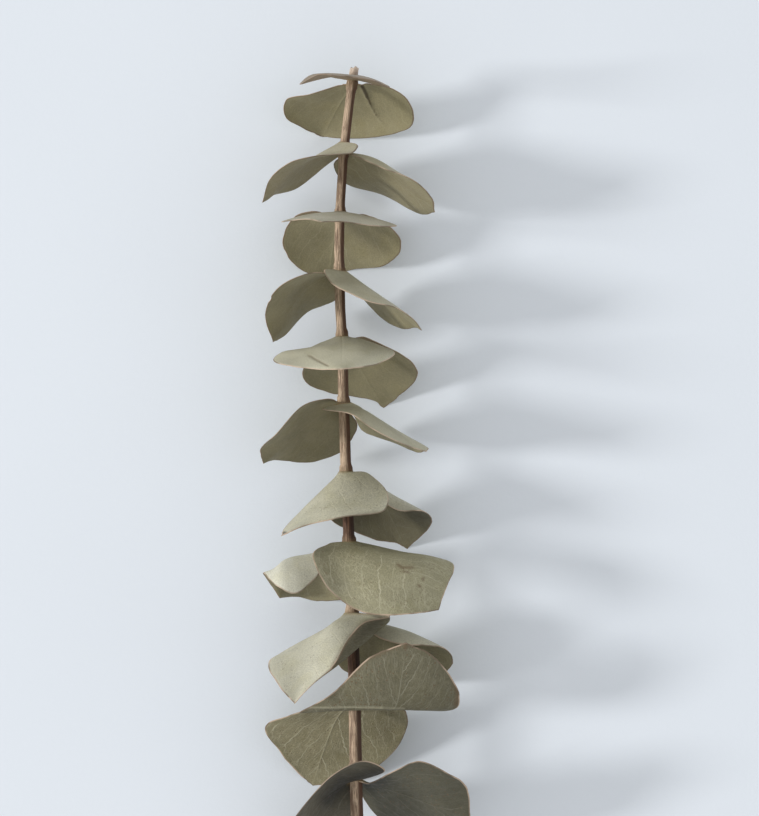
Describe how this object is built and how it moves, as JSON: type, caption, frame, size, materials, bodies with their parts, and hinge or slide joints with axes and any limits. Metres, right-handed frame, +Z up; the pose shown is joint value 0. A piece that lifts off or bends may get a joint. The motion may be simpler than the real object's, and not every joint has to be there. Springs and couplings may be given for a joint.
{
  "type": "eucalyptus branch",
  "caption": "Dried eucalyptus branch with round silver-green leaves in crossed pairs that clasp the stem, lying on a flat surface.",
  "frame": {"origin": "on the surface that the branch lies on, below the middle of its box", "axes": "+Y along the stem towards its tip, +Z up from the surface, +X across the branch"},
  "size_m": [0.0586, 0.2512, 0.0461],
  "materials": {
    "stem_bark": "matte dried bark, tan to dark red-brown, with fine lengthwise lines",
    "leaf_blade": "matte waxy dried leaf, sage grey-green above and olive below, with pale veins and a thin pale margin"
  },
  "bodies": {
    "root": {"stem": "stem_bark", "leaf_01_front": "leaf_blade", "leaf_01_back": "leaf_blade", "leaf_02_left": "leaf_blade", "leaf_02_right": "leaf_blade", "leaf_03_front": "leaf_blade", "leaf_03_back": "leaf_blade", "leaf_04_left": "leaf_blade", "leaf_04_right": "leaf_blade", "leaf_05_front": "leaf_blade", "leaf_05_back": "leaf_blade", "leaf_06_left": "leaf_blade", "leaf_06_right": "leaf_blade", "leaf_07_front": "leaf_blade", "leaf_07_back": "leaf_blade", "leaf_08_front": "leaf_blade", "leaf_08_back": "leaf_blade", "leaf_09_front": "leaf_blade", "leaf_09_back": "leaf_blade", "leaf_10_front": "leaf_blade", "leaf_10_back": "leaf_blade", "leaf_11_left": "leaf_blade", "leaf_11_right": "leaf_blade"}
  },
  "joints": []
}
